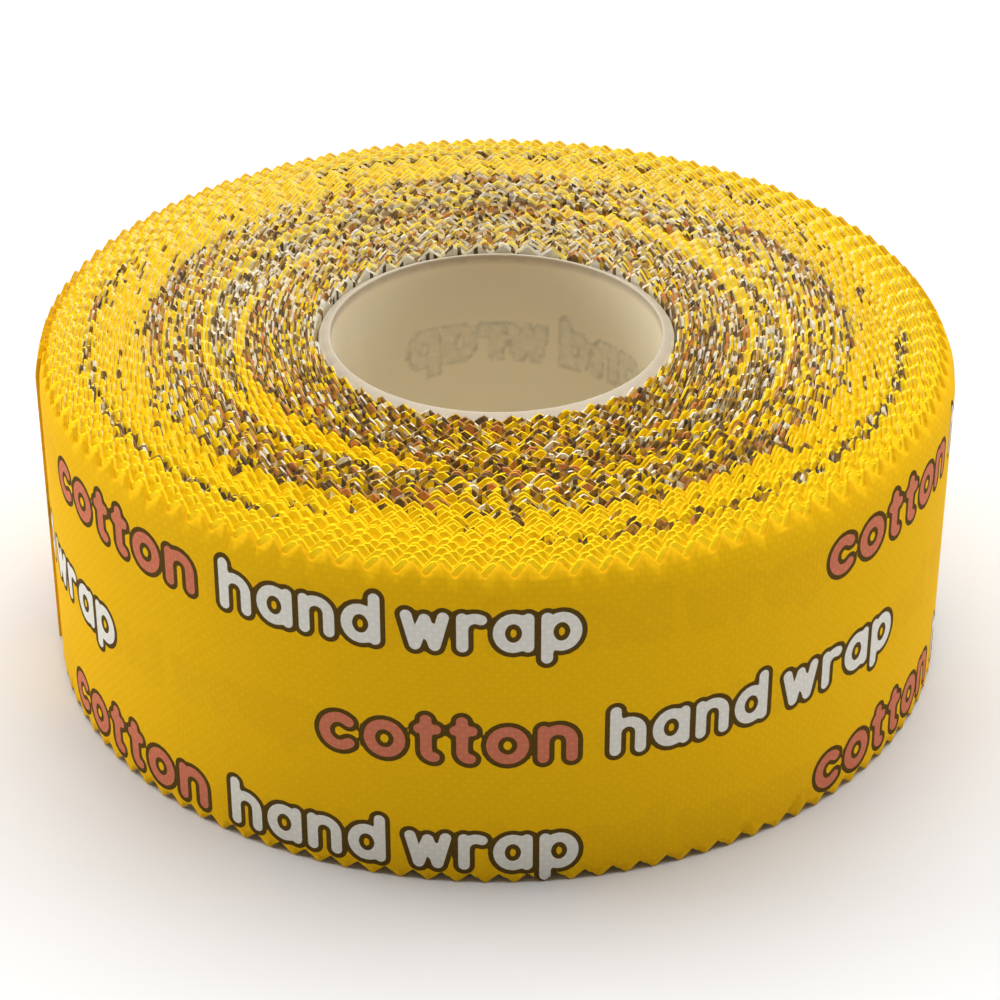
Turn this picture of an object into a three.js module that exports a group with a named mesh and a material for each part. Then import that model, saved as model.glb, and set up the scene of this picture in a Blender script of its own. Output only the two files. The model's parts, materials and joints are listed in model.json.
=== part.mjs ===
// A roll of pinked-edge cotton athletic tape, wound on a thin plastic core.
//
// Millimetres, +Z up. The origin is on the core's axis, in the plane the roll stands on.
// Seen from above, the strip winds anticlockwise from the core outwards. It is a laminate
// of two layers: a coat of adhesive on the inside and the woven cloth on the outside.
// The turns that never move are drawn as five lengths of the winding, each of them many
// turns thick, with walls that follow the spiral. The last turn is drawn at its true
// thickness. Its final stretch is the free end, which peels away from the roll, so it is
// a chain of short links, each one hanging on the link before it.
import * as THREE from "three";

// ---- Driving dimensions ----

const TAPE_WIDTH = 25.4; // from tooth tip to tooth tip
const TOOTH_HEIGHT = 0.75;
const TEETH_PER_LINK = 3;

const CORE_BORE_RADIUS = 12.4;
const CORE_WALL = 0.9;
const CORE_LENGTH = 25.0;
const CORE_CHAMFER = 0.25;
const CORE_CLEARANCE = 0.05; // between the core and the first turn

const TURN_PITCH = 0.3; // how much each turn adds to the radius
const ADHESIVE_THICKNESS = 0.07;
const CLOTH_THICKNESS = 0.2;
const PLY_GAP = 0.015; // clearance on the inner side of each layer

const TURNS = 69;
const WOUND_LENGTHS = [
  { name: "wraps_1_on_core", firstTurn: 0, lastTurn: 18 },
  { name: "wraps_2_inner", firstTurn: 18, lastTurn: 30 },
  { name: "wraps_3_middle", firstTurn: 30, lastTurn: 45 },
  { name: "wraps_4_outer", firstTurn: 45, lastTurn: 59 },
  { name: "wraps_5_under_last_turn", firstTurn: 59, lastTurn: TURNS - 1 },
];
const WINDING_FACETS = 72; // flats in each turn of the wound lengths

const SEAM_AZIMUTH = 186; // where the strip ends, in degrees about +Z
const LINK_COUNT = 10;
const LINK_DEGREES = 10;
const END_GAP = 0.05; // clearance between the ends of two lengths of strip

// ---- Derived dimensions ----

const CORE_RADIUS = CORE_BORE_RADIUS + CORE_WALL;
const FIRST_TURN_RADIUS = CORE_RADIUS + CORE_CLEARANCE;
const ROLL_RADIUS = windingRadius(TURNS);
const END_GAP_DEGREES = THREE.MathUtils.radToDeg(END_GAP / ROLL_RADIUS);
const FREE_END_DEGREES = LINK_COUNT * LINK_DEGREES;
const DEGREES_PER_TOOTH = LINK_DEGREES / TEETH_PER_LINK;

// The two layers of the strip, measured outwards from the winding spiral.
const ADHESIVE_LAYER = { from: PLY_GAP, thickness: ADHESIVE_THICKNESS };
const CLOTH_LAYER = { from: TURN_PITCH - CLOTH_THICKNESS, thickness: CLOTH_THICKNESS };

// ---- Materials ----

const printedCloth = standardMaterial(0xf2c500, 0.85);
const adhesiveCoat = standardMaterial(0xe6d8a8, 0.6);
const woundTape = standardMaterial(0xe0b83a, 0.9);
const corePlastic = standardMaterial(0xd9c9a2, 0.4);

function standardMaterial(color, roughness) {
  return new THREE.MeshStandardMaterial({ color, roughness, metalness: 0 });
}

// ---- The winding spiral ----

// Radius of the strip's inner face after so many turns on the core, which is also the
// radius of the roll at that point.
function windingRadius(turns) {
  return FIRST_TURN_RADIUS + TURN_PITCH * turns;
}

// A point on the winding, `offset` outside the strip's inner face.
function windingPoint(turns, offset) {
  const azimuth = THREE.MathUtils.degToRad(SEAM_AZIMUTH) + turns * 2 * Math.PI;
  const radius = windingRadius(turns) + offset;
  return new THREE.Vector2(radius * Math.cos(azimuth), radius * Math.sin(azimuth));
}

// One turn of the spiral as a closed outline. Its last point is one pitch outside its first.
function spiralOutline(firstTurn, offset) {
  const points = [];
  for (let i = 0; i <= WINDING_FACETS; i++) {
    points.push(windingPoint(firstTurn + i / WINDING_FACETS, offset));
  }
  return points;
}

// ---- Pieces ----

function corePiece() {
  const inner = CORE_BORE_RADIUS;
  const outer = CORE_RADIUS;
  const bottom = (TAPE_WIDTH - CORE_LENGTH) / 2;
  const top = bottom + CORE_LENGTH;
  const profile = [
    new THREE.Vector2(inner, bottom + CORE_CHAMFER),
    new THREE.Vector2(inner + CORE_CHAMFER, bottom),
    new THREE.Vector2(outer - CORE_CHAMFER, bottom),
    new THREE.Vector2(outer, bottom + CORE_CHAMFER),
    new THREE.Vector2(outer, top - CORE_CHAMFER),
    new THREE.Vector2(outer - CORE_CHAMFER, top),
    new THREE.Vector2(inner + CORE_CHAMFER, top),
    new THREE.Vector2(inner, top - CORE_CHAMFER),
    new THREE.Vector2(inner, bottom + CORE_CHAMFER),
  ];
  const geometry = new THREE.LatheGeometry(profile, WINDING_FACETS);
  geometry.rotateX(Math.PI / 2); // the lathe turns about +Y, and the core stands along +Z
  const mesh = new THREE.Mesh(geometry, corePlastic);
  mesh.name = "core";
  return mesh;
}

// Many turns as one ring, with the step of one pitch that the spiral leaves in each wall.
function woundLength({ name, firstTurn, lastTurn }) {
  const ring = new THREE.Shape(spiralOutline(lastTurn - 1, TURN_PITCH));
  ring.holes.push(new THREE.Path(spiralOutline(firstTurn, PLY_GAP)));
  const geometry = new THREE.ExtrudeGeometry(ring, { depth: TAPE_WIDTH, bevelEnabled: false });
  const mesh = new THREE.Mesh(geometry, woundTape);
  mesh.name = name;
  return mesh;
}

// One layer of the strip between two places on the winding, with both edges pinked. The two
// edges rise and fall together, because neighbouring strips are cut from one cloth.
function stripLayer(name, startTurn, degrees, layer, material) {
  const clear = END_GAP_DEGREES / 2;
  const columns = Math.round((2 * degrees) / DEGREES_PER_TOOTH);
  const geometry = new THREE.BoxGeometry(1, 1, 1, columns, 1, 1);
  const corners = geometry.getAttribute("position");
  for (let i = 0; i < corners.count; i++) {
    const share = corners.getX(i) + 0.5;
    const along = Math.min(Math.max(share * degrees, clear), degrees - clear);
    const isTip = Math.round(share * columns) % 2 === 1;
    const rise = isTip ? TOOTH_HEIGHT : 0;
    const atTop = corners.getY(i) > 0;
    const outside = corners.getZ(i) > 0;
    const offset = layer.from + (outside ? layer.thickness : 0);
    const point = windingPoint(startTurn + along / 360, offset);
    const height = (atTop ? TAPE_WIDTH - TOOTH_HEIGHT : 0) + rise;
    corners.setXYZ(i, point.x, point.y, height);
  }
  const mesh = new THREE.Mesh(geometry, material);
  mesh.name = name;
  return mesh;
}

// Both layers of the last turn that stays on the roll, from the seam to the free end's root.
function lastTurn() {
  const degrees = 360 - FREE_END_DEGREES;
  return [
    stripLayer("last_turn_cloth", TURNS - 1, degrees, CLOTH_LAYER, printedCloth),
    stripLayer("last_turn_adhesive", TURNS - 1, degrees, ADHESIVE_LAYER, adhesiveCoat),
  ];
}

// The free end: each link's group turns about a line on the outer face of the strip, where
// the link begins, and holds the next link's group.
function freeEnd() {
  const root = new THREE.Group();
  let previous = root;
  for (let i = 0; i < LINK_COUNT; i++) {
    const startTurn = TURNS - (FREE_END_DEGREES - i * LINK_DEGREES) / 360;
    const hinge = windingPoint(startTurn, TURN_PITCH);
    const link = new THREE.Group();
    link.position.set(hinge.x, hinge.y, 0);
    link.rotation.z = Math.atan2(hinge.y, hinge.x);
    const label = String(i + 1).padStart(2, "0");
    const cloth = `free_end_cloth_${label}`;
    const coat = `free_end_adhesive_${label}`;
    link.attach(stripLayer(cloth, startTurn, LINK_DEGREES, CLOTH_LAYER, printedCloth));
    link.attach(stripLayer(coat, startTurn, LINK_DEGREES, ADHESIVE_LAYER, adhesiveCoat));
    previous.attach(link);
    previous = link;
  }
  return root;
}

const roll = new THREE.Group();
roll.add(corePiece());
roll.add(...WOUND_LENGTHS.map(woundLength));
roll.add(...lastTurn());
roll.add(freeEnd());

export default roll;
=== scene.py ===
"""The looks of a roll of printed, pinked-edge cotton tape on a translucent plastic core.

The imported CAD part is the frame. The tape is one strip, wound as a spiral, and each piece of
tape is a length of that strip. A point of the strip is given by s, the distance along it from
the core, by z, its height, and by its depth below the outer face. Those three are in
millimetres until a mesh is made, and meshes are in metres.
"""

import json
import math

import bpy
import numpy as np
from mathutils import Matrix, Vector
from mathutils.geometry import delaunay_2d_cdt


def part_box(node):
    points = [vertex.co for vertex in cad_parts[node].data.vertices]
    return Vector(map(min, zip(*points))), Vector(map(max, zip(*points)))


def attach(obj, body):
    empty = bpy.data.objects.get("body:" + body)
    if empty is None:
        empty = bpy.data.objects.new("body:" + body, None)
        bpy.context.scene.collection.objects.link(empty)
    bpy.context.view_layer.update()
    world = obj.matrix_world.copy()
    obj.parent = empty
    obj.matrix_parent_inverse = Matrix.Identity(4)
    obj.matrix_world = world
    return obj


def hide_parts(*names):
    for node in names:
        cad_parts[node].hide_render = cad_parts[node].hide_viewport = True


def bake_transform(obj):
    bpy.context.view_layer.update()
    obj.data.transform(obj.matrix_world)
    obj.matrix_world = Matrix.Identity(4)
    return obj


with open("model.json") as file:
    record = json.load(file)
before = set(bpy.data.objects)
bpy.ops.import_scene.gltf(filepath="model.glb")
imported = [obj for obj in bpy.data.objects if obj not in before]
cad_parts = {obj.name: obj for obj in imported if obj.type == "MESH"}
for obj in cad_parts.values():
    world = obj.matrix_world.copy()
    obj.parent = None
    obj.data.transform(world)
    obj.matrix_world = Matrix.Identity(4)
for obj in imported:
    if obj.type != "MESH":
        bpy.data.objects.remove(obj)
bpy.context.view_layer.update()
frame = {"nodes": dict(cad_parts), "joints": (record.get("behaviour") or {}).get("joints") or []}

MM = 0.001

# ---- The strip and the spiral, as the CAD has them ----

TURN_PITCH = 0.3
TURNS = 69
CORE_CLEARANCE = 0.05
STRIP_THICKNESS = 0.27  # cloth and adhesive together
TOOTH_HEIGHT = 0.75
TEETH_PER_LINK = 3

core_low, core_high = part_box("core")
strip_low, strip_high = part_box("last_turn_cloth")
STRIP_WIDTH = (strip_high.z - strip_low.z) / MM
CORE_RADIUS = core_high.x / MM
BORE_RADIUS = min(math.hypot(v.co.x, v.co.y) for v in frame["nodes"]["core"].data.vertices) / MM
FIRST_OUTER_RADIUS = CORE_RADIUS + CORE_CLEARANCE + TURN_PITCH
ROLL_RADIUS = FIRST_OUTER_RADIUS + TURN_PITCH * (TURNS - 1)

hinges = [Vector(joint["pos_m"]) for joint in frame["joints"]]
hinge_azimuths = [math.atan2(p.y, p.x) for p in hinges]
LINK_ANGLE = hinge_azimuths[1] - hinge_azimuths[0]
SEAM_AZIMUTH = hinge_azimuths[0] + len(hinges) * LINK_ANGLE
FREE_TURNS = len(hinges) * LINK_ANGLE / (2 * math.pi)
FREE_ROOT = TURNS - FREE_TURNS
HALF_LINK = LINK_ANGLE / (4 * math.pi)  # in turns


def length_at(turns):
    """Distance along the strip's outer face from the core, after so many turns."""
    return 2 * np.pi * (FIRST_OUTER_RADIUS * turns + TURN_PITCH * turns**2 / 2)


def turns_at(s):
    """The turns after which the strip is s long."""
    root = np.sqrt(FIRST_OUTER_RADIUS**2 + TURN_PITCH * s / np.pi)
    return (root - FIRST_OUTER_RADIUS) / TURN_PITCH


LENGTH = length_at(TURNS)
TOOTH_PITCH = (LENGTH - length_at(FREE_ROOT)) / (len(hinges) * TEETH_PER_LINK)
# Places along one tooth and their heights, both as shares, with its corners a little rounded.
TOOTH_SHAPE = ((0.0, 0.0), (0.08, 0.1), (0.42, 0.9), (0.5, 1.0), (0.58, 0.9), (0.92, 0.1), (1.0, 0.0))


def tooth_rise(s):
    """Height of the pinked edge above its valleys at s. Both edges rise and fall together."""
    phase = np.mod((np.asarray(s) - LENGTH) / TOOTH_PITCH, 1.0)
    places, heights = zip(*TOOTH_SHAPE)
    return TOOTH_HEIGHT * np.interp(phase, places, heights)


EDGE_LEAN = 0.8  # of the last turn, as a mean all round
LEAN_VARIATION = 0.5  # how much less it is at the free end, and more opposite, as a share
LEANING_HEIGHT = 2.6
LEANING_TURNS = 45


def lean(turns, z):
    """How far the top edge of the outer turns leans in, which rounds the roll's shoulder."""
    from_free_end = 2 * np.pi * (turns - TURNS + FREE_TURNS / 2)
    most = EDGE_LEAN * (1 - LEAN_VARIATION * np.cos(from_free_end))
    share = np.clip((z - STRIP_WIDTH + LEANING_HEIGHT) / LEANING_HEIGHT, 0, 1)
    return most * share**2 * np.clip((turns - TURNS + LEANING_TURNS) / LEANING_TURNS, 0, 1)


STEADY_TURNS = 1.5  # the tension's variation dies away over these, before the last turn


def stretch(turns):
    """How many turns further on than a perfect winding a place lies, as its tension varied."""
    slack = 0.0023 * np.sin(2.3 * turns) + 0.0017 * np.sin(5.1 * turns + 1)
    return slack * np.clip((TURNS - 1 - turns) / STEADY_TURNS, 0, 1)


def wound(s, z, depth):
    """Points of the wound strip, in metres."""
    turns = turns_at(s)
    turns = turns + stretch(turns)
    azimuth = SEAM_AZIMUTH + 2 * np.pi * turns
    radius = FIRST_OUTER_RADIUS + TURN_PITCH * turns - depth - lean(turns, z)
    return np.stack([radius * np.cos(azimuth), radius * np.sin(azimuth), z + 0 * s], -1) * MM


# ---- The print: rows of two-coloured words, drawn with a round pen ----

X_HEIGHT = 3.1
PEN = 0.8  # width of a stroke
OUTLINE = 0.36  # width of the dark line around it
ASCENT = 0.95  # beyond the x-height, and below the baseline for a tail
ROW_PITCH = 9.1
ROW_SHIFT = 27.5  # how far each second row is moved along the strip
ROWS = range(-1, 4)  # counted down from the top row, with one beyond each edge of the strip
REPEAT = 64.72  # length of one repeat of a row
TOP_ROW_HEIGHT = 20.8  # middle of the top row's small letters
FIRST_WORD_AZIMUTH = math.radians(203.1)
WORD_LEAD = 2.0  # blank kept in front of the first word, inside a repeat
RED_WORD = "cotton"
RED_BOWL = 1.06
RED_LETTER_GAP = 0.56
COLOUR_GAP = 2.2  # blank between the red and the white words
WHITE_WORDS = ("hand", "wrap")
WHITE_BOWL = 0.97
WHITE_LETTER_GAP = 0.46
WHITE_WORD_GAP = 1.35
TILE_STEP = 0.19
ARC_STEP = 18  # degrees
# A strip's material slots: one for each ink, then the adhesive side and the cut edge.
INK_NONE, INK_RED, INK_WHITE, INK_OUTLINE, INK_BELOW = range(5)
SLOT_ADHESIVE, SLOT_EDGE = 5, 6


def arc(centre_x, centre_y, radius_x, radius_y, start, stop):
    """Part of an ellipse as a line of points, from start to stop in degrees."""
    steps = max(2, round(abs(stop - start) / ARC_STEP))
    angles = np.radians(np.linspace(start, stop, steps + 1))
    return np.stack([centre_x + radius_x * np.cos(angles), centre_y + radius_y * np.sin(angles)], -1)


def line(*points):
    """Straight strokes from point to point."""
    return np.array(points, float)


def letter(name, bowl):
    """The pen's paths for one small letter, and how wide they are. bowl is half a bowl's width."""
    low = PEN / 2
    high = X_HEIGHT - PEN / 2
    middle = X_HEIGHT / 2
    wide = 2 * bowl
    narrow = 0.92 * wide
    shoulder = high - 0.9 * bowl
    short_stem = line((0, low), (0, high))
    tall_stem = line((0, low), (0, high + ASCENT))
    hanging_stem = line((0, low - ASCENT), (0, high))
    ring = arc(bowl, middle, bowl, high - middle, 0, 360)
    arch = arc(narrow / 2, shoulder, narrow / 2, high - shoulder, 180, 0)
    leg = line((narrow, shoulder), (narrow, low))
    hook = arc(0.85, shoulder, 0.85, high - shoulder, 180, 62)
    tee_stem = line((0.45, high + 0.8 * ASCENT), (0.45, low + 0.5))
    tee_foot = arc(0.95, low + 0.5, 0.5, 0.5, 180, 275)
    tee_bar = line((0, high), (1.1, high))
    zigzag_places = wide * np.array([0, 0.3, 0.64, 0.98, 1.28])
    zigzag = np.stack([zigzag_places, [high, low, high - 0.2, low, high]], -1)
    shapes = {
        "a": ([ring, short_stem + (wide, 0)], wide),
        "c": ([arc(bowl, middle, bowl, high - middle, 48, 312)], 0.88 * wide),
        "d": ([ring, tall_stem + (wide, 0)], wide),
        "h": ([tall_stem, arch, leg], narrow),
        "n": ([short_stem, arch, leg], narrow),
        "o": ([ring], wide),
        "p": ([ring, hanging_stem], wide),
        "r": ([short_stem, hook], 1.15),
        "t": ([tee_stem, tee_foot, tee_bar], 1.1),
        "w": ([zigzag], zigzag_places[-1]),
    }
    return shapes[name]


def word(text, x, bowl, gap):
    """A word's strokes from x on, and where its ink ends. gap is the blank between letters."""
    strokes = []
    for name in text:
        paths, width = letter(name, bowl)
        strokes += [path + (x + PEN / 2, -X_HEIGHT / 2) for path in paths]
        x += width + PEN + gap
    return strokes, x - gap


def repeat_strokes():
    """Strokes of one repeat of a row, and the place between its red and its white words."""
    strokes, x = word(RED_WORD, WORD_LEAD, RED_BOWL, RED_LETTER_GAP)
    colour_change = x + COLOUR_GAP / 2
    x += COLOUR_GAP
    for text in WHITE_WORDS:
        more, x = word(text, x, WHITE_BOWL, WHITE_LETTER_GAP)
        strokes += more
        x += WHITE_WORD_GAP
    return strokes, colour_change


def distance_to_strokes(points, strokes):
    """Distance of each point from the nearest stroke's middle."""
    nearest = np.full(len(points), np.inf)
    for path in strokes:
        for start, stop in zip(path[:-1], path[1:]):
            along = stop - start
            share = np.clip(((points - start) @ along) / (along @ along), 0, 1)
            offset = points - start - share[:, None] * along
            nearest = np.minimum(nearest, np.hypot(offset[:, 0], offset[:, 1]))
    return nearest


def make_tile():
    """The distance field of one repeat of one row, on a grid of TILE_STEP."""
    strokes, change = repeat_strokes()
    xs = np.linspace(0, REPEAT, round(REPEAT / TILE_STEP) + 1)
    ys = np.linspace(-ROW_PITCH / 2, ROW_PITCH / 2, round(ROW_PITCH / TILE_STEP) + 1)
    grid = np.stack(np.meshgrid(xs, ys, indexing="ij"), -1)
    field = distance_to_strokes(grid.reshape(-1, 2), strokes).reshape(grid.shape[:2])
    return xs, ys, field, change


TILE_X, TILE_Y, TILE_FIELD, COLOUR_CHANGE = make_tile()
PRINT_START = length_at(TURNS - 1 + (FIRST_WORD_AZIMUTH - SEAM_AZIMUTH) / (2 * np.pi)) - WORD_LEAD


def row_offset(row):
    """Where a repeat of this row starts along the strip. Row 0 is the top row."""
    return PRINT_START + ROW_SHIFT * (row % 2)


def ink_at(s, z):
    """The ink at places of the strip, as INK numbers."""
    s, z = np.broadcast_arrays(np.asarray(s, float), np.asarray(z, float))
    row = np.rint((TOP_ROW_HEIGHT - z) / ROW_PITCH)
    x = np.mod(s - PRINT_START - ROW_SHIFT * np.mod(row, 2), REPEAT)
    y = z - (TOP_ROW_HEIGHT - row * ROW_PITCH)
    # Places in the grid of the tile, kept short of its last line so that each one has a cell.
    fx = np.clip(x / TILE_X[1], 0, len(TILE_X) - 1.001)
    fy = np.clip((y - TILE_Y[0]) / (TILE_Y[1] - TILE_Y[0]), 0, len(TILE_Y) - 1.001)
    i, j = fx.astype(int), fy.astype(int)
    u, v = fx - i, fy - j
    low = TILE_FIELD[i, j] * (1 - u) + TILE_FIELD[i + 1, j] * u
    high = TILE_FIELD[i, j + 1] * (1 - u) + TILE_FIELD[i + 1, j + 1] * u
    distance = low * (1 - v) + high * v
    fill = np.where(x < COLOUR_CHANGE, INK_RED, INK_WHITE)
    ink = np.where(distance < PEN / 2, fill, INK_OUTLINE)
    return np.where(distance < PEN / 2 + OUTLINE, ink, INK_NONE)


# For each pattern of a cell's inside corners, the sides of the cell that a contour joins. The
# sides are numbered 0 to 3 from the lower one, anticlockwise.
JOINED_SIDES = {
    1: [(3, 0)],
    2: [(0, 1)],
    3: [(3, 1)],
    4: [(1, 2)],
    5: [(3, 0), (1, 2)],
    6: [(0, 2)],
    7: [(3, 2)],
    8: [(2, 3)],
    9: [(2, 0)],
    10: [(0, 1), (2, 3)],
    11: [(2, 1)],
    12: [(1, 3)],
    13: [(1, 0)],
    14: [(0, 3)],
}


def contour(level):
    """The lines where the tile's field crosses level, as points and pairs of point numbers."""
    number, points, pairs = {}, [], []

    def crossing(i, j, k, m):
        """The number of the contour's point between the tile's places i, j and k, m."""
        key = (i, j, k, m)
        if key not in number:
            a, b = TILE_FIELD[i, j], TILE_FIELD[k, m]
            share = (level - a) / (b - a)
            x = TILE_X[i] + share * (TILE_X[k] - TILE_X[i])
            y = TILE_Y[j] + share * (TILE_Y[m] - TILE_Y[j])
            number[key] = len(points)
            points.append((x, y))
        return number[key]

    inside = TILE_FIELD < level
    corners = inside[:-1, :-1] + 2 * inside[1:, :-1] + 4 * inside[1:, 1:] + 8 * inside[:-1, 1:]
    for i, j in zip(*np.nonzero((corners > 0) & (corners < 15))):
        sides = (
            (i, j, i + 1, j),
            (i + 1, j, i + 1, j + 1),
            (i, j + 1, i + 1, j + 1),
            (i, j, i, j + 1),
        )
        for first, second in JOINED_SIDES[int(corners[i, j])]:
            pairs.append((crossing(*sides[first]), crossing(*sides[second])))
    return np.array(points), np.array(pairs)


CONTOURS = [contour(PEN / 2), contour(PEN / 2 + OUTLINE)]


def length_below(s):
    """The place of the strip one turn further in, under s."""
    return length_at(turns_at(s) - 1)


def printed_ink_at(s, z):
    """The ink at places of the strip, with the print of the turn below where it shows through."""
    own = ink_at(s, z)
    below = ink_at(length_below(s), z)
    return np.where((own == INK_NONE) & (below != INK_NONE), INK_BELOW, own)


# ---- Meshes ----

FRONT_GRID = 0.9  # spacing of the points that fill a strip's printed face
BACK_GRID = 1.3  # and its adhesive side
FRONT_MARGIN = 0.25  # distance that those points keep from the strip's outline
BACK_MARGIN = 0.3
PRINT_OVERLAP = 0.3  # how far beyond the outline the print's contours are kept
SHORTEST_EDGE = 0.02  # beside a strip's end
MERGE_DISTANCE = 1e-5


def make_piece(name, points, faces, materials, slots=None, uvs=None, smooth=None):
    """A mesh object. slots and smooth hold a value for each face, uvs a place for each point."""
    mesh = bpy.data.meshes.new(name)
    mesh.from_pydata(points.tolist(), [], faces)
    for material in materials:
        mesh.materials.append(material)
    if slots is not None:
        mesh.polygons.foreach_set("material_index", np.asarray(slots, np.int32))
    if smooth is not None:
        mesh.polygons.foreach_set("use_smooth", np.asarray(smooth, bool))
    if uvs is not None:
        corner = np.empty(len(mesh.loops), np.int32)
        mesh.loops.foreach_get("vertex_index", corner)
        layer = mesh.uv_layers.new(name="Strip")
        layer.uv.foreach_set("vector", np.asarray(uvs, np.float32)[corner].ravel())
    mesh.update()
    obj = bpy.data.objects.new(name, mesh)
    bpy.context.scene.collection.objects.link(obj)
    return obj


def edge_places(start, stop):
    """Where along the strip the pinked edge has its points."""
    first = math.floor((start - LENGTH) / TOOTH_PITCH) - 1
    last = math.ceil((stop - LENGTH) / TOOTH_PITCH) + 1
    shares = [share for share, _ in TOOTH_SHAPE[:-1]]
    places = [LENGTH + (k + share) * TOOTH_PITCH for k in range(first, last) for share in shares]
    inner = [s for s in places if start + SHORTEST_EDGE < s < stop - SHORTEST_EDGE]
    return [start, *inner, stop]


def outline_of(start, stop):
    """The strip's outline in the flat, anticlockwise."""
    places = np.array(edge_places(start, stop))
    low = np.stack([places, tooth_rise(places)], -1)
    high = np.stack([places, tooth_rise(places) + STRIP_WIDTH - TOOTH_HEIGHT], -1)
    return np.concatenate([low, high[::-1]])


def inside_strip(points, start, stop, margin=0.0):
    """Which points are inside the strip's outline by at least margin."""
    s, z = points[:, 0], points[:, 1]
    rise = tooth_rise(s)
    across = (z > rise + margin) & (z < rise + STRIP_WIDTH - TOOTH_HEIGHT - margin)
    return across & (s > start + margin) & (s < stop - margin)


def grid_points(start, stop, step):
    """Points step apart, all over the strip between two places."""
    columns = np.linspace(start, stop, max(2, round((stop - start) / step)) + 1)
    rows = np.linspace(0, STRIP_WIDTH, round(STRIP_WIDTH / step) + 1)
    return np.stack(np.meshgrid(columns, rows, indexing="ij"), -1).reshape(-1, 2)


def contour_lines(start, stop, contours):
    """The print's contours between two places, as points and pairs of point numbers."""
    all_points, all_pairs, count = [], [], 0
    for row in ROWS:
        base = row_offset(row)
        height = TOP_ROW_HEIGHT - row * ROW_PITCH
        for k in range(math.floor((start - base) / REPEAT), math.ceil((stop - base) / REPEAT)):
            for points, pairs in contours:
                all_points.append(points + (base + k * REPEAT, height))
                all_pairs.append(pairs + count)
                count += len(points)
    return np.concatenate(all_points), np.concatenate(all_pairs)


def print_lines(start, stop):
    """Every line where a strip's ink changes, as points and pairs of point numbers."""
    points, pairs = contour_lines(start, stop, CONTOURS)
    below, below_pairs = contour_lines(length_below(start), length_below(stop), CONTOURS[1:])
    below[:, 0] = length_at(turns_at(below[:, 0]) + 1)
    pairs = np.concatenate([pairs, below_pairs + len(points)])
    points = np.concatenate([points, below])
    near = inside_strip(points, start, stop, -PRINT_OVERLAP)
    pairs = pairs[near[pairs].any(1)]
    used, numbered = np.unique(pairs, return_inverse=True)
    return points[used], numbered.reshape(-1, 2)


def triangulated(points, pairs, start, stop):
    """Triangles that keep every pair as an edge, inside the strip's outline only.

    Gives the points used, the triangles, and for each point given, its number among those.
    """
    shift = np.array([start, 0.0])
    vectors = [Vector(p) for p in points - shift]
    edges = [tuple(map(int, pair)) for pair in pairs]
    made = delaunay_2d_cdt(vectors, edges, [], 0, MERGE_DISTANCE, True)
    places = np.array([tuple(p) for p in made[0]]) + shift
    triangles = np.array(made[2])
    kept = triangles[inside_strip(places[triangles].mean(1), start, stop)]
    used, numbered = np.unique(kept, return_inverse=True)
    renumber = np.full(len(places), -1)
    renumber[used] = np.arange(len(used))
    number_of = np.full(len(points), -1)
    for k, given in enumerate(made[3]):
        number_of[given] = renumber[k]
    return places[used], numbered.reshape(-1, 3), number_of


def border_pairs(triangles):
    """The edges that one triangle uses, in that triangle's direction."""
    edges = np.concatenate([triangles[:, [0, 1]], triangles[:, [1, 2]], triangles[:, [2, 0]]])
    keys = np.sort(edges, 1)
    _, first, counts = np.unique(keys, axis=0, return_index=True, return_counts=True)
    return edges[first[counts == 1]]


def closed_pairs(count):
    """The pairs of numbers that make a closed line of so many points."""
    return np.stack([np.arange(count), np.roll(np.arange(count), -1)], -1)


def front_sheet(start, stop):
    """The printed face in the flat: its points, its triangles and the ink of each triangle."""
    outline = outline_of(start, stop)
    lines, pairs = print_lines(start, stop)
    grid = grid_points(start, stop, FRONT_GRID)
    clear = printed_ink_at(grid[:, 0], grid[:, 1]) == INK_NONE
    grid = grid[clear & inside_strip(grid, start, stop, FRONT_MARGIN)]
    points = np.concatenate([outline, lines, grid])
    edges = np.concatenate([closed_pairs(len(outline)), pairs + len(outline)])
    front, triangles, _ = triangulated(points, edges, start, stop)
    middles = front[triangles].mean(1)
    return front, triangles, printed_ink_at(middles[:, 0], middles[:, 1])


def back_sheet(rim, rim_pairs, start, stop):
    """The adhesive side in the flat, inside a rim that it shares with the printed face.

    Gives its points, its triangles and the number of each of the rim's points.
    """
    grid = grid_points(start, stop, BACK_GRID)
    grid = grid[inside_strip(grid, start, stop, BACK_MARGIN)]
    return triangulated(np.concatenate([rim, grid]), rim_pairs, start, stop)


def printed_strip(name, start, stop, materials):
    """A length of strip whose print is cut into its outer face, with its adhesive side."""
    front, front_faces, inks = front_sheet(start, stop)
    border = border_pairs(front_faces)
    rim, rim_pairs = np.unique(border, return_inverse=True)
    rim_pairs = rim_pairs.reshape(-1, 2)
    back, back_faces, number_of = back_sheet(front[rim], rim_pairs, start, stop)
    behind = number_of[rim_pairs] + len(front)
    walls = np.stack([border[:, 1], border[:, 0], behind[:, 0], behind[:, 1]], -1)

    outer = wound(front[:, 0], front[:, 1], 0.0)
    inner = wound(back[:, 0], back[:, 1], STRIP_THICKNESS)
    faces = front_faces.tolist() + (back_faces[:, ::-1] + len(front)).tolist() + walls.tolist()
    back_slots = np.full(len(back_faces), SLOT_ADHESIVE)
    slots = np.concatenate([inks, back_slots, np.full(len(walls), SLOT_EDGE)])
    smooth = np.concatenate([np.ones(len(front_faces) + len(back_faces)), np.zeros(len(walls))])
    uvs = np.concatenate([front, back])
    return make_piece(name, np.concatenate([outer, inner]), faces, materials, slots, uvs, smooth)


# ---- Materials ----


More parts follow.
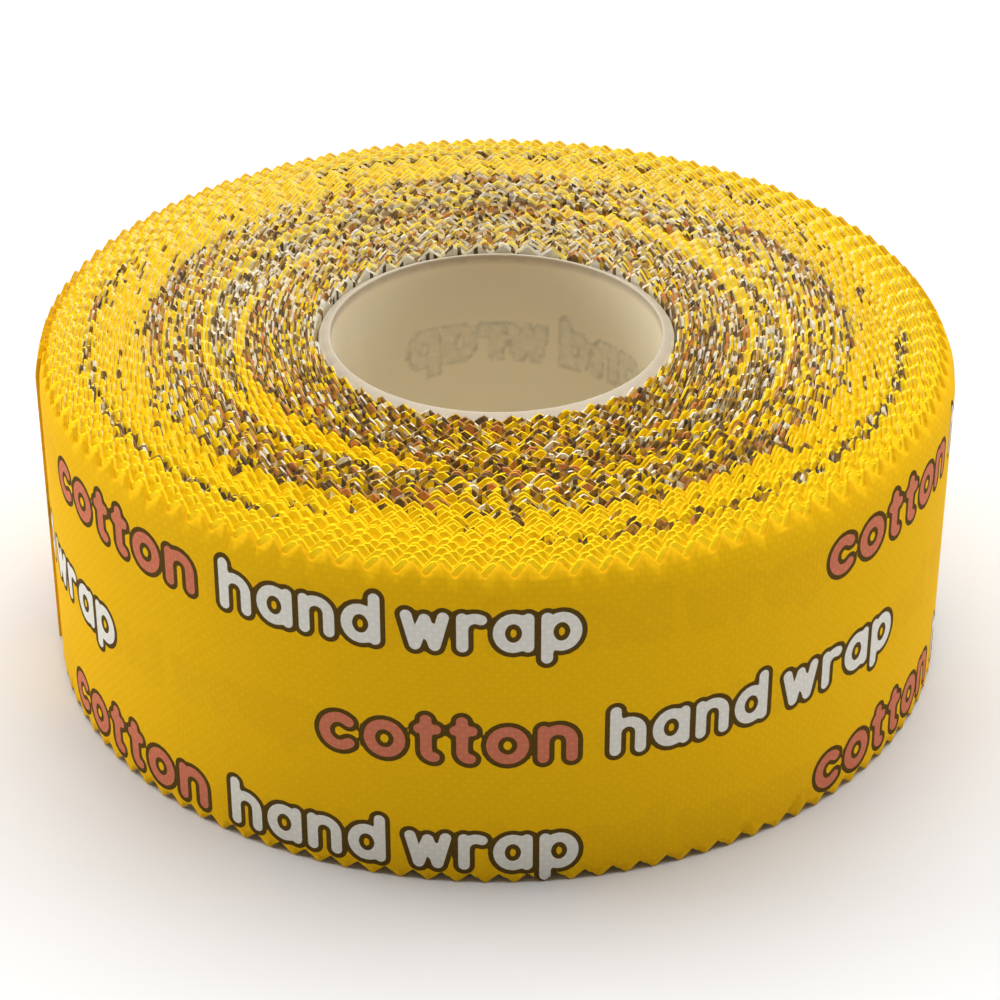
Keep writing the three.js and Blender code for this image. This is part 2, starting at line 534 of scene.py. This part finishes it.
class Nodes:
    """A material's node tree, with short calls to add to it."""

    def __init__(self, name):
        self.material = bpy.data.materials.new(name)
        self.material.use_nodes = True
        self.tree = self.material.node_tree
        self.shader = self.tree.nodes["Principled BSDF"]

    def add(self, kind, inputs=(), **settings):
        """A node. inputs maps its sockets' names or numbers to values, sockets or nodes."""
        node = self.tree.nodes.new(kind)
        for key, value in settings.items():
            setattr(node, key, value)
        for key, value in dict(inputs).items():
            self.feed(node.inputs[key], value)
        return node

    def feed(self, socket, value):
        """Links a socket or a node's first output to socket, or sets its plain value."""
        if isinstance(value, bpy.types.NodeSocket):
            self.tree.links.new(value, socket)
        elif isinstance(value, bpy.types.Node):
            self.tree.links.new(value.outputs[0], socket)
        else:
            socket.default_value = value

    def math(self, operation, a, b=0.0):
        """The result of an operation on two numbers or sockets, or on a alone."""
        return self.add("ShaderNodeMath", {0: a, 1: b}, operation=operation)

    def noise(self, vector, scale, detail=2.0):
        """Cloudy noise, mostly between 0.3 and 0.7. scale counts its cells in a unit of vector."""
        inputs = {"Vector": vector, "Scale": scale, "Detail": detail}
        return self.add("ShaderNodeTexNoise", inputs).outputs["Fac"]

    def span(self, value, low, high):
        """value, which goes from 0 to 1, carried to the range from low to high."""
        return self.add("ShaderNodeMapRange", {"Value": value, "To Min": low, "To Max": high})

    def mix(self, share, a, b):
        """Colour a with a share of colour b. Each is a red, green and blue, or a socket."""
        a, b = [(*c, 1) if isinstance(c, tuple) else c for c in (a, b)]
        # A mix node has its colours in sockets 6 and 7, and its mixed colour in output 2.
        return self.add("ShaderNodeMix", {0: share, 6: a, 7: b}, data_type="RGBA").outputs[2]


THREAD_PITCH = 0.42  # distance between neighbouring threads
WEAVE_DEPTH = 0.06 * MM


def weave(nodes):
    """Height of a plain weave, from 0 to 1, and the strip's own coordinates in millimetres."""
    place = nodes.add("ShaderNodeUVMap", uv_map="Strip")
    wander = nodes.noise(place, 0.35)
    split = nodes.add("ShaderNodeSeparateXYZ", {"Vector": place})
    waves = []
    for output, drift in zip(split.outputs, (0.9, 0.7)):
        wandering = nodes.math("ADD", output, nodes.math("MULTIPLY", wander, drift))
        angle = nodes.math("MULTIPLY", wandering, math.pi / THREAD_PITCH)
        waves.append(nodes.math("SINE", angle))
    crossing = nodes.math("MULTIPLY", *waves)
    ribs, wefts = [nodes.math("ABSOLUTE", wave) for wave in waves]
    parts = [(crossing, 0.35), (ribs, 0.35), (wefts, 0.45)]
    first, second, third = [nodes.math("MULTIPLY", part, share) for part, share in parts]
    return nodes.math("ADD", nodes.math("ADD", first, second), third), place


def cloth_relief(nodes, height, fibre, bump):
    """The dull surface and the relief that every cloth and thread material shares."""
    nodes.shader.inputs["Specular IOR Level"].default_value = 0.06
    relief = nodes.math("ADD", height, nodes.math("MULTIPLY", fibre, 0.35))
    inputs = {"Strength": bump, "Distance": WEAVE_DEPTH, "Height": relief}
    nodes.feed(nodes.shader.inputs["Normal"], nodes.add("ShaderNodeBump", inputs))


def cloth_material(name, colour, shade, lint, roughness=0.85, bump=0.3):
    """Plain-woven cotton in one ink: the threads' colour, a darker colour painted into the weave's
    hollows as shade and also spread in random blotches, and the lint.
    """
    nodes = Nodes(name)
    height, place = weave(nodes)
    blotch = nodes.noise(place, 0.5, 4.0)
    fibre = nodes.noise(place, 9.0, 3.0)
    # Painted shade: the weave's hollows are darkened towards the shade colour.
    hollows = nodes.mix(nodes.span(height, 0.5, 1.0), shade, colour)
    # The blotches are random tone, towards the same darker colour.
    tint = nodes.mix(nodes.span(blotch, 0.0, 0.2), hollows, shade)
    fluffy = nodes.mix(nodes.span(fibre, 0.0, 0.08), tint, lint)
    nodes.feed(nodes.shader.inputs["Base Color"], fluffy)
    nodes.feed(nodes.shader.inputs["Roughness"], nodes.span(fibre, roughness - 0.1, roughness + 0.1))
    cloth_relief(nodes, height, fibre, bump)
    return nodes.material


def thread_material(name, colour):
    """The cut ends of threads along the wound edge, where each face is one thread or two."""
    nodes = Nodes(name)
    height, place = weave(nodes)
    fibre = nodes.noise(place, 6.0, 3.0)
    nodes.shader.inputs["Base Color"].default_value = (*colour, 1)
    nodes.feed(nodes.shader.inputs["Roughness"], nodes.span(fibre, 0.75, 0.98))
    cloth_relief(nodes, height, fibre, 0.4)
    return nodes.material


YELLOW_LINT = (1.0, 0.68, 0.06)
CREAM_LINT = (0.95, 0.85, 0.6)


def strip_materials():
    """The strip's materials, in the order of the INK and SLOT numbers."""
    return [
        cloth_material("cloth_yellow", (0.90, 0.51, 0.002), (0.78, 0.41, 0.002), YELLOW_LINT),
        cloth_material("ink_coral", (0.68, 0.19, 0.10), (0.48, 0.10, 0.05), CREAM_LINT),
        cloth_material("ink_pale_grey", (0.86, 0.83, 0.76), (0.66, 0.63, 0.55), CREAM_LINT),
        cloth_material("ink_outline", (0.075, 0.036, 0.008), (0.04, 0.020, 0.005), YELLOW_LINT),
        cloth_material("cloth_over_print", (0.87, 0.49, 0.003), (0.75, 0.39, 0.002), YELLOW_LINT),
        cloth_material("adhesive_cream", (0.88, 0.70, 0.27), (0.76, 0.56, 0.17), CREAM_LINT, 0.55, 0.15),
        # The cut edge is the cloth's yellow made a little darker: painted shade, which dims the lit top
        # edge of the last turn.
        cloth_material("cut_edge_painted_shade", (0.84, 0.46, 0.004), (0.72, 0.37, 0.003), YELLOW_LINT, 0.9, 0.5),
    ]


# The yellow and deep threads are lighter than the cloth's own yellow: painted light, which brightens the
# wound edges on the roll's top, where the turns shade one another.
THREAD_COLOURS = {
    "yellow": (0.97, 0.68, 0.012),
    "deep": (0.93, 0.58, 0.006),
    "soft": (0.98, 0.82, 0.26),
    "pale": (0.97, 0.85, 0.48),
    "cream": (0.97, 0.88, 0.64),
    "white": (0.86, 0.81, 0.66),
    "coral": (0.64, 0.25, 0.08),
    "ochre": (0.60, 0.36, 0.05),
    "brown": (0.28, 0.16, 0.05),
    "dark": (0.14, 0.10, 0.06),
}


def thread_materials():
    """One material for each thread colour, in the order of THREAD_COLOURS."""
    return [thread_material("thread_" + name, colour) for name, colour in THREAD_COLOURS.items()]


# Painted shade darkens the core's lip between these depths below its top.
RIM_SHADE_START = 0.9  # below the core's top, where its lip starts to darken
RIM_SHADE_END = 0.25
LIGHT_REACH = 1.2 * MM  # how far light gets through the core's plastic


def core_material():
    """Thin cream plastic that lets a little light through, with the first turn's print behind it and
    painted shade darkening its lip towards the top.
    """
    nodes = Nodes("core_plastic")
    place = nodes.add("ShaderNodeTexCoord").outputs["Object"]
    cloud = nodes.noise(place, 160.0, 3.0)
    base = nodes.mix(nodes.span(cloud, 0.0, 1.0), (0.86, 0.75, 0.54), (0.91, 0.81, 0.60))
    ghost = nodes.add("ShaderNodeAttribute", attribute_name="ghost").outputs["Fac"]
    mottle = nodes.span(nodes.noise(place, 1500.0, 3.0), -0.9, 2.9)
    behind = nodes.mix(nodes.math("MULTIPLY", ghost, mottle), base, (0.40, 0.38, 0.27))
    height = nodes.add("ShaderNodeSeparateXYZ", {"Vector": place}).outputs[2]
    # Painted shade: towards the core's top, the colour is mixed to a darker brown all round the lip.
    rim_low = core_high.z - RIM_SHADE_START * MM
    rim_high = core_high.z - RIM_SHADE_END * MM
    rim_range = {"Value": height, "From Min": rim_low, "From Max": rim_high}
    rim = nodes.add("ShaderNodeMapRange", rim_range)
    nodes.feed(nodes.shader.inputs["Base Color"], nodes.mix(rim, behind, (0.50, 0.43, 0.33)))
    grain = nodes.span(nodes.noise(place, 900.0), 0.32, 0.5)
    nodes.feed(nodes.shader.inputs["Roughness"], grain)
    nodes.shader.inputs["Subsurface Weight"].default_value = 0.35
    nodes.shader.inputs["Subsurface Scale"].default_value = LIGHT_REACH
    nodes.shader.inputs["Subsurface Radius"].default_value = (1.0, 0.8, 0.5)
    relief = nodes.noise(place, 1400.0)
    bump = {"Strength": 0.15, "Distance": 0.05 * MM, "Height": relief}
    nodes.feed(nodes.shader.inputs["Normal"], nodes.add("ShaderNodeBump", bump))
    return nodes.material


def floor_material():
    """Matt, pale grey, with the faintest unevenness."""
    nodes = Nodes("floor_pale")
    place = nodes.add("ShaderNodeTexCoord").outputs["Object"]
    grey = nodes.mix(nodes.noise(place, 40.0), (0.74, 0.74, 0.74), (0.77, 0.77, 0.77))
    nodes.feed(nodes.shader.inputs["Base Color"], grey)
    nodes.shader.inputs["Roughness"].default_value = 0.9
    return nodes.material


# ---- The wound turns: a closed ribbon with a narrow row of faces along each edge ----

COLUMNS_PER_TOOTH = 6
# Distances of the rows from the edge that they belong to, on each face of the strip.
OUTER_ROWS_TOP = (0.0, 0.38, 0.78, 1.3)
OUTER_ROWS_FOOT = (1.0, 0.45, 0.0)
INNER_ROWS_TOP = (0.2, 1.0)
INNER_ROWS_FOOT = (1.0, 0.18)
WOUND_THICKNESS = 0.29  # nearly the pitch, which leaves no gaps to see down into
# The ink has soaked this deep. From there on, the top edge slopes down to the adhesive side,
# so that it shows its pale inside towards the axis.
SOAKED_DEPTH = 0.16

# Which threads show on the faces along a wound edge, and how often, for each ink printed there.
PRINTED_THREADS = {
    # Painted light: the yellow and deep threads here are lighter than the cloth's own yellow.
    INK_NONE: {"yellow": 0.91, "deep": 0.09},
    INK_RED: {"coral": 0.50, "brown": 0.26, "ochre": 0.24},
    INK_WHITE: {"white": 0.40, "ochre": 0.28, "brown": 0.32},
    INK_OUTLINE: {"dark": 0.44, "brown": 0.40, "ochre": 0.16},
}
CUT_THREADS = {
    INK_NONE: {"soft": 0.84, "pale": 0.16},
    INK_RED: {"coral": 0.27, "ochre": 0.20, "pale": 0.36, "brown": 0.17},
    INK_WHITE: {"white": 0.62, "pale": 0.24, "brown": 0.14},
    INK_OUTLINE: {"dark": 0.25, "brown": 0.20, "cream": 0.55},
}
ADHESIVE_THREADS = {
    INK_NONE: {"cream": 0.72, "white": 0.22, "pale": 0.06},
    INK_RED: {"brown": 0.22, "white": 0.54, "ochre": 0.24},
    INK_WHITE: {"white": 0.70, "cream": 0.20, "dark": 0.10},
    INK_OUTLINE: {"dark": 0.40, "cream": 0.22, "white": 0.38},
}

# On the innermost turns, wound the tightest, ink has bled into threads that had none.
BLED_TURNS = 16
BLED_SHARE = 0.4


def table_for(*depths):
    """The table of threads for the faces between two rows of the cross-section."""
    if max(depths) <= SOAKED_DEPTH:
        return PRINTED_THREADS
    return ADHESIVE_THREADS if min(depths) == WOUND_THICKNESS else CUT_THREADS


def threads_for(inks, table, random):
    """A thread's slot for each ink, drawn by lot from a table."""
    numbers = {name: k for k, name in enumerate(THREAD_COLOURS)}
    lot = random.random(inks.shape)
    slots = np.zeros(inks.shape, int)
    for ink, shares in table.items():
        limits = np.cumsum(list(shares.values()))[:-1]
        choice = np.array([numbers[name] for name in shares])
        slots = np.where(inks == ink, choice[np.searchsorted(limits, lot)], slots)
    return slots


# How far up the strip the print has slipped at some of the turns, beside the last turn. From
# 1.3 mm the tall letters reach the edge, from 2.3 mm the outlines of them all, and near 4 mm
# the edge cuts the letters through their middle.
DRIFT_TURNS = (0, 10, 18, 24, 26, 28, 30, 36, 42, 44, 46, 55, 56.5, 58.5, 60, TURNS)
DRIFT = (4.4, 3.8, 4.3, 3.8, 2.6, 2.4, 3.6, 4.6, 3.5, 2.4, 1.6, 1.5, 2.5, 2.5, 0.8, 0)


def print_drift(turns):
    """How far up the strip the print has slipped."""
    return np.interp(turns, DRIFT_TURNS, DRIFT)


# Turns where the winding machine's feed moved, and how far up the turns inside each one stand.
EDGE_STEPS = ((28, -0.25), (44, 0.15), (58, -0.1))
LEVEL_TURNS = 8  # from the outside in, the heights start to vary over these


def edge_lift(turns):
    """How far a turn stands above the last one, because the turns don't lie quite level."""
    fade = np.clip((TURNS - turns) / LEVEL_TURNS, 0, 1)
    steps = sum(lift * np.clip((turn - turns) * 2, 0, 1) for turn, lift in EDGE_STEPS)
    return steps + fade * (0.07 * np.sin(turns * 0.71) + 0.05 * np.sin(turns * 1.93 + 1))


DOME = 0.3
DOME_TURNS = 12  # the dome rises over these, counted in from the outside


def dome(turns):
    """How far a turn has been pushed up out of the roll, compared with the last one."""
    return DOME * (1 - (1 - np.clip((TURNS - turns) / DOME_TURNS, 0, 1)) ** 2)


def ribbon_rows():
    """The ribbon's cross-section, round from the top of the outer face.

    Each row is whether it belongs to the top edge, how far it is from that edge, and its depth.
    """
    outer = [(True, d, 0.0) for d in OUTER_ROWS_TOP] + [(False, d, 0.0) for d in OUTER_ROWS_FOOT]
    inner = [(False, d, WOUND_THICKNESS) for d in INNER_ROWS_FOOT[::-1]]
    inner += [(True, d, WOUND_THICKNESS) for d in INNER_ROWS_TOP[::-1]]
    return outer + inner + [(True, 0.0, SOAKED_DEPTH)]


def edge_heights(s, rows):
    """The height of each row of the cross-section at places of the strip, before the dome."""
    foot = tooth_rise(s) + edge_lift(turns_at(s))
    top = foot + STRIP_WIDTH - TOOTH_HEIGHT
    foot = np.maximum(foot, 0.0)
    return np.stack([top - gap if at_top else foot + gap for at_top, gap, _ in rows])


def printed_inks(s, z, random):
    """The ink on each face along a wound edge, with what has bled on the innermost turns."""
    turns = turns_at(s)
    inks = ink_at(s[None, :], z - print_drift(turns)[None, :])
    is_blank = (turns < BLED_TURNS) & (inks == INK_NONE)
    bled = is_blank & (random.random(inks.shape) < BLED_SHARE)
    return np.where(bled, random.integers(INK_RED, INK_OUTLINE + 1, inks.shape), inks)


def ribbon(name, first_turn, last_turn, materials):
    """Many turns of the strip as one thin, closed ribbon, coloured face by face."""
    start, stop = length_at(first_turn), length_at(last_turn)
    columns = round((stop - start) / TOOTH_PITCH * COLUMNS_PER_TOOTH)
    s = np.linspace(start, stop, columns + 1)
    rows = ribbon_rows()
    depths = [depth for _, _, depth in rows]
    heights = edge_heights(s, rows)
    risen = heights + dome(turns_at(s))
    points = np.stack([wound(s, z, depth) for z, depth in zip(risen, depths)])

    number = np.arange(heights.size).reshape(heights.shape)
    after = np.roll(number, -1, axis=0)
    faces = np.stack([number[:, :-1], after[:, :-1], after[:, 1:], number[:, 1:]], -1).reshape(-1, 4)
    ends = [tuple(number[::-1, 0].tolist()), tuple(number[:, -1].tolist())]

    random = np.random.default_rng(first_turn)
    middle_s = (s[:-1] + s[1:]) / 2
    middle_z = heights.ravel()[faces].mean(1).reshape(len(rows), columns)
    inks = printed_inks(middle_s, middle_z, random)
    slots = []
    for row_inks, depth, next_depth in zip(inks, depths, depths[1:] + depths[:1]):
        slots.append(threads_for(row_inks, table_for(depth, next_depth), random))
    all_slots = np.concatenate([*slots, [0, 0]])
    uvs = np.stack([np.broadcast_to(s, heights.shape), heights], -1).reshape(-1, 2)
    return make_piece(name, points.reshape(-1, 3), faces.tolist() + ends, materials, all_slots, uvs)


# ---- The core ----

CORE_SEGMENTS = 288
BORE_ROWS = 82
LIP_SLOPE = 28  # degrees, down from the bore's edge to the outside
LIP_ROUND = 0.12
GHOST_START = -21.6  # where the ghosted print starts at the seam, along a row of print
GHOST_DROP = 3.3  # how much lower it sits than the last turn's print
# How dark each ink looks through the core's wall.
GHOST_SHADES = {INK_NONE: 0.0, INK_RED: 0.24, INK_WHITE: 0.16, INK_OUTLINE: 0.36}


def core_profile():
    """The core's turned outline, from the foot of the bore up, over the top and back under it."""
    low, high = core_low.z / MM, core_high.z / MM
    inner, outer = BORE_RADIUS + LIP_ROUND, CORE_RADIUS - LIP_ROUND
    drop = (outer - inner) * math.tan(math.radians(LIP_SLOPE))
    inner_corner = arc(inner, high - LIP_ROUND, LIP_ROUND, LIP_ROUND, 180, 90 - LIP_SLOPE)
    outer_corner = arc(outer, high - LIP_ROUND - drop, LIP_ROUND, LIP_ROUND, 90 - LIP_SLOPE, 0)
    top_lip = np.concatenate([inner_corner, outer_corner])
    foot_lip = (0, low + high) + top_lip[::-1] * (1, -1)
    bore_heights = np.linspace(low + LIP_ROUND, high - LIP_ROUND, BORE_ROWS + 2)[1:-1]
    bore = np.stack([np.full(BORE_ROWS, BORE_RADIUS), bore_heights], -1)
    return np.concatenate([bore, top_lip, foot_lip])


def core_tube(material):
    """The core as a turned tube with sloping lips, and the ghost of the print inside."""
    radii, heights = core_profile().T
    azimuths = np.arange(CORE_SEGMENTS) * 2 * math.pi / CORE_SEGMENTS
    x = np.outer(np.cos(azimuths), radii)
    y = np.outer(np.sin(azimuths), radii)
    points = np.stack([x, y, np.broadcast_to(heights, x.shape)], -1).reshape(-1, 3) * MM
    number = np.arange(x.size).reshape(x.shape)
    right = np.roll(number, -1, axis=0)
    above = np.roll(number, -1, axis=1)
    faces = np.stack([above, np.roll(right, -1, axis=1), right, number], -1).reshape(-1, 4)
    smooth = np.ones(len(faces))
    piece = make_piece("core_tube", points, faces.tolist(), [material], smooth=smooth)

    turned = np.mod(azimuths - SEAM_AZIMUTH, 2 * math.pi)
    start = PRINT_START + GHOST_START
    ghost = ink_at(start + turned[:, None] * CORE_RADIUS, heights[None, :] + GHOST_DROP)
    shade = np.choose(ghost, list(GHOST_SHADES.values()))
    shade[:, BORE_ROWS:] = 0.0
    attribute = piece.data.attributes.new("ghost", "FLOAT", "POINT")
    attribute.data.foreach_set("value", shade.astype(np.float32).ravel())
    return piece


# ---- Assembly ----

# The printed length of strip begins under the free end, which uncovers it when it peels.
LAST_TURN_START = 67.7
WOUND_PIECES = {
    "wraps_1_on_core": (0, 18),
    "wraps_2_inner": (18, 30),
    "wraps_3_middle": (30, 45),
    "wraps_4_outer": (45, 59),
    "wraps_5_under_last_turn": (59, LAST_TURN_START),
}


def build_wound_turns():
    """The turns that never move, as one ribbon for each of the CAD's wound lengths."""
    threads = thread_materials()
    for node, (first, last) in WOUND_PIECES.items():
        piece = ribbon(node.replace("wraps", "wound_strip"), first, last, threads)
        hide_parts(node)
        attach(piece, "roll")


def build_last_turn(materials):
    """The last turn, up to where the free end's first bend begins."""
    start, stop = length_at(LAST_TURN_START), length_at(FREE_ROOT - HALF_LINK)
    last_turn = printed_strip("last_turn_strip", start, stop, materials)
    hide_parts("last_turn_cloth", "last_turn_adhesive")
    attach(last_turn, "roll")


def build_free_end(materials):
    """The free end: a length of strip across each hinge, and the tip."""
    for k, joint in enumerate(frame["joints"]):
        middle = FREE_ROOT + 2 * HALF_LINK * k
        start, stop = length_at(middle - HALF_LINK), length_at(middle + HALF_LINK)
        label = f"{k + 1:02d}"
        piece = printed_strip("free_end_strip_" + label, start, stop, materials)
        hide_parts("free_end_cloth_" + label, "free_end_adhesive_" + label)
        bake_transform(piece)

    tip = printed_strip("free_end_tip", length_at(TURNS - HALF_LINK), LENGTH, materials)
    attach(tip, frame["joints"][-1]["child"])


def build_core():
    """The core, in place of the CAD's plainer one."""
    core = core_tube(core_material())
    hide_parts("core")
    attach(core, "roll")


# ---- Floor, light and camera, in metres ----

CAMERA_ELEVATION = math.radians(31.45)
CAMERA_DISTANCE = 6.76 * ROLL_RADIUS * MM
CAMERA_TARGET = Vector((0.0077, 0.0, 0.3005)) * ROLL_RADIUS * MM
CAMERA_LENS = 107.1
SURROUND_LIGHT = 0.14
FLOOR_SIZE = 4.0
FLOOR_DROP = 0.00005  # below the tape's lower edge, so that the two faces don't coincide


def add_light(name, kind, azimuth, elevation, distance, settings):
    """A lamp aimed at the roll, azimuth and elevation in degrees."""
    light = bpy.data.lights.new(name, kind)
    for key, value in settings.items():
        setattr(light, key, value)
    around, up = math.radians(azimuth), math.radians(elevation)
    level = math.cos(up)
    direction = Vector((math.cos(around) * level, math.sin(around) * level, math.sin(up)))
    lamp = bpy.data.objects.new(name, light)
    lamp.location = CAMERA_TARGET + direction * distance
    lamp.rotation_euler = (-direction).to_track_quat("-Z", "Y").to_euler()
    bpy.context.scene.collection.objects.link(lamp)


def studio_world():
    """A dim, even surround that the camera itself sees as a pale wall."""
    world = bpy.data.worlds.new("studio")
    world.use_nodes = True
    tree = world.node_tree
    path = tree.nodes.new("ShaderNodeLightPath")
    strength = tree.nodes.new("ShaderNodeMapRange")
    strength.inputs["To Min"].default_value = SURROUND_LIGHT
    strength.inputs["To Max"].default_value = 1.0
    tree.links.new(path.outputs["Is Camera Ray"], strength.inputs["Value"])
    background = tree.nodes["Background"]
    background.inputs["Color"].default_value = (1, 1, 1, 1)
    tree.links.new(strength.outputs[0], background.inputs["Strength"])
    return world


def build_stage():
    """The pale floor, the surround and three soft lights."""
    bpy.ops.mesh.primitive_plane_add(size=FLOOR_SIZE, location=(0, 0, -FLOOR_DROP))
    floor = bpy.context.object
    floor.name = "floor"
    floor.data.materials.append(floor_material())
    bpy.context.scene.world = studio_world()
    add_light("top_light", "SUN", 80, 72, 1.0, {"energy": 3.45, "angle": math.radians(70)})
    add_light("left_light", "AREA", 162, 14, 2.4, {"energy": 36.8, "size": 1.4})
    add_light("right_light", "AREA", 15, 14, 2.4, {"energy": 19.2, "size": 1.4})


def build_camera():
    """The camera, where the front of the roll is towards -Y."""
    camera = bpy.data.objects.new("camera", bpy.data.cameras.new("camera"))
    camera.data.lens = CAMERA_LENS
    camera.data.clip_start = 0.01
    direction = Vector((0, -math.cos(CAMERA_ELEVATION), math.sin(CAMERA_ELEVATION)))
    camera.location = CAMERA_TARGET + direction * CAMERA_DISTANCE
    camera.rotation_euler = (-direction).to_track_quat("-Z", "Y").to_euler()
    bpy.context.scene.collection.objects.link(camera)
    bpy.context.scene.camera = camera


build_wound_turns()
strip_looks = strip_materials()
build_last_turn(strip_looks)
build_free_end(strip_looks)
build_core()
build_stage()
build_camera()
bpy.context.scene.view_settings.view_transform = "Standard"
